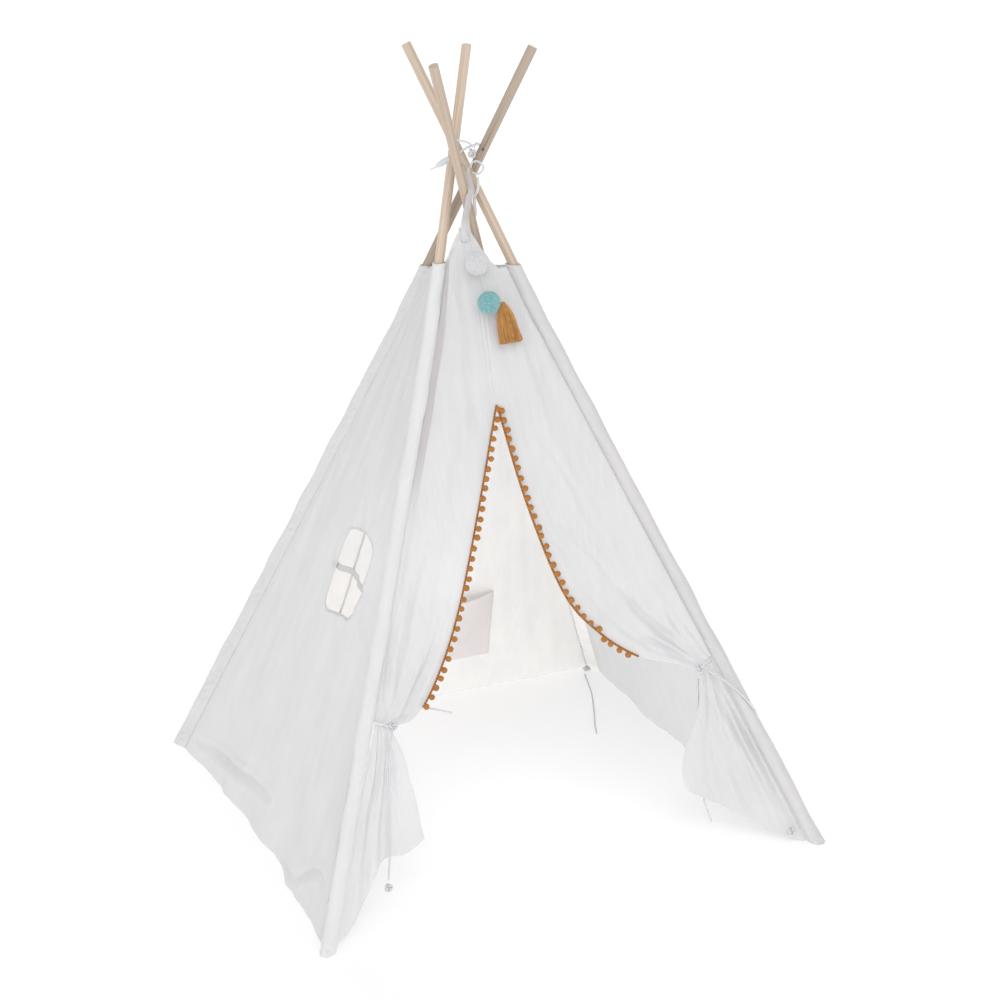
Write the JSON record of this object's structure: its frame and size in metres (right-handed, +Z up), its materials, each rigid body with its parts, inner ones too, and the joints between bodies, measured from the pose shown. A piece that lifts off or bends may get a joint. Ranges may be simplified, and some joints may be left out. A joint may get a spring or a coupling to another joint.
{
  "type": "kids teepee",
  "caption": "Kids' play teepee: jointed wooden poles lashed near their tips, a pale cotton cover on sewn sleeves, a tied-back door with a pompom trim, a window and a pocket.",
  "frame": {"origin": "on the floor at the centre of the square base", "axes": "+Z up, the door faces -Y, +X to the right of someone who looks at the door"},
  "size_m": [1.096, 1.0963, 1.6078],
  "materials": {
    "wood": "sanded, unvarnished",
    "steel": "plain tube",
    "cotton": "plain weave, unbleached white",
    "cord": "cotton cord",
    "trim": "braid with small pompoms",
    "white_wool": "cut wool pompom",
    "teal_wool": "cut wool pompom",
    "mustard_yarn": "yarn tassel"
  },
  "bodies": {
    "lashing": {"lashing_turns": "cord", "lashing_knot": "cord", "lashing_bow_right": "cord", "lashing_bow_left": "cord"},
    "front_left_pole": {"pole_front_left_lower": "wood", "pole_front_left_middle": "wood", "pole_front_left_upper": "wood", "ferrule_front_left_low": "steel", "ferrule_front_left_high": "steel", "sleeve_front_left": "cotton", "tie_left_knot": "cord", "tie_left_cord": "cord", "tie_left_tail_short": "cord"},
    "front_right_pole": {"pole_front_right_lower": "wood", "pole_front_right_middle": "wood", "pole_front_right_upper": "wood", "ferrule_front_right_low": "steel", "ferrule_front_right_high": "steel", "sleeve_front_right": "cotton", "tie_right_knot": "cord", "tie_right_cord": "cord"},
    "back_right_pole": {"pole_back_right_lower": "wood", "pole_back_right_middle": "wood", "pole_back_right_upper": "wood", "ferrule_back_right_low": "steel", "ferrule_back_right_high": "steel", "sleeve_back_right": "cotton", "tie_back_right_knot": "cord", "tie_back_right_tail": "cord", "tie_back_right_strand": "cord"},
    "back_left_pole": {"pole_back_left_lower": "wood", "pole_back_left_middle": "wood", "pole_back_left_upper": "wood", "ferrule_back_left_low": "steel", "ferrule_back_left_high": "steel", "sleeve_back_left": "cotton"},
    "front_wall": {"front_wall": "cotton", "front_hanger": "cotton", "door_trim_left": "trim", "door_trim_right": "trim"},
    "left_wall": {"left_wall": "cotton", "window_bar_level": "cotton", "window_bar_upright": "cotton"},
    "right_wall": {"right_wall": "cotton"},
    "back_wall": {"back_wall": "cotton", "back_pocket": "cotton", "back_hanger": "cotton"},
    "left_flap_tail": {"flap_tail_left": "cotton", "tie_left_tail_long": "cord", "tie_left_tail_knot": "cord"},
    "right_flap_tail": {"flap_tail_right": "cotton", "tie_front_right_corner": "cord", "tie_right_tail_long": "cord"},
    "pendant": {"pendant_thread_upper": "cord", "pompom_white": "white_wool"},
    "pendant_end": {"pendant_thread_lower": "cord", "pompom_teal": "teal_wool", "tassel": "mustard_yarn"}
  },
  "joints": [
    {"name": "fold_front_left", "type": "hinge", "parent": "lashing", "child": "front_left_pole", "pos_m": [0.00018, 0.06467, 1.38515], "axis": [0.8514, -0.5245, 0], "range_deg": [0, 22], "deforming": ["front_wall", "left_wall", "right_wall", "back_wall", "flap_tail_left", "flap_tail_right", "door_trim_left", "door_trim_right", "window_bar_level", "window_bar_upright", "back_pocket", "front_hanger", "back_hanger", "lashing_turns", "lashing_bow_right", "lashing_bow_left", "lashing_knot", "tie_left_knot", "tie_left_cord", "tie_left_tail_short", "tie_right_knot", "tie_right_cord", "tie_right_tail_long", "tie_left_tail_long", "tie_left_tail_knot", "tie_front_right_corner", "tie_back_right_tail", "tie_back_right_strand", "tie_back_right_knot"]},
    {"name": "fold_front_right", "type": "hinge", "parent": "lashing", "child": "front_right_pole", "pos_m": [-0.00842, 0.02192, 1.40053], "axis": [0.7156, 0.6985, 0], "range_deg": [0, 22]},
    {"name": "fold_back_right", "type": "hinge", "parent": "lashing", "child": "back_right_pole", "pos_m": [-0.03579, -0.04829, 1.37864], "axis": [-0.5536, 0.8328, 0], "range_deg": [0, 22]},
    {"name": "fold_back_left", "type": "hinge", "parent": "lashing", "child": "back_left_pole", "pos_m": [0.04116, 0.00283, 1.39716], "axis": [-0.4958, -0.8685, 0], "range_deg": [0, 22]},
    {"name": "gather_front_wall", "type": "hinge", "parent": "lashing", "child": "front_wall", "pos_m": [0, -0.035, 1.18], "axis": [1, 0, 0], "range_deg": [0, 19.8]},
    {"name": "gather_right_wall", "type": "hinge", "parent": "lashing", "child": "right_wall", "pos_m": [0.055, 0, 1.165], "axis": [0, 1, 0], "range_deg": [0, 19.8]},
    {"name": "gather_back_wall", "type": "hinge", "parent": "lashing", "child": "back_wall", "pos_m": [0, 0.05, 1.165], "axis": [-1, 0, 0], "range_deg": [0, 19.8]},
    {"name": "gather_left_wall", "type": "hinge", "parent": "lashing", "child": "left_wall", "pos_m": [-0.045, 0, 1.17], "axis": [0, -1, 0], "range_deg": [0, 19.8]},
    {"name": "left_flap_swing", "type": "hinge", "parent": "front_left_pole", "child": "left_flap_tail", "pos_m": [-0.533, -0.533, 0], "axis": [0.3459, 0.3844, 0.8559], "range_deg": [-20, 25], "deforming": ["flap_tail_left"]},
    {"name": "right_flap_swing", "type": "hinge", "parent": "front_right_pole", "child": "right_flap_tail", "pos_m": [0.533, -0.533, 0], "axis": [0.3434, -0.3525, -0.8705], "range_deg": [-20, 25], "deforming": ["flap_tail_right"]},
    {"name": "pendant_lift", "type": "hinge", "parent": "front_wall", "child": "pendant", "pos_m": [-0.013, -0.024, 1.236], "axis": [-1, 0, 0], "range_deg": [0, 35]},
    {"name": "pendant_end_swing", "type": "hinge", "parent": "pendant", "child": "pendant_end", "pos_m": [-0.0026, -0.076, 1.1584], "axis": [0, -0.9292, 0.3697], "range_deg": [-25, 10]}
  ],
  "couplings": [
    {"joint": "fold_front_right", "follows": "fold_front_left", "ratio": 1},
    {"joint": "fold_back_right", "follows": "fold_front_left", "ratio": 1},
    {"joint": "fold_back_left", "follows": "fold_front_left", "ratio": 1},
    {"joint": "gather_front_wall", "follows": "fold_front_left", "ratio": 0.9},
    {"joint": "gather_right_wall", "follows": "fold_front_left", "ratio": 0.9},
    {"joint": "gather_back_wall", "follows": "fold_front_left", "ratio": 0.9},
    {"joint": "gather_left_wall", "follows": "fold_front_left", "ratio": 0.9}
  ]
}
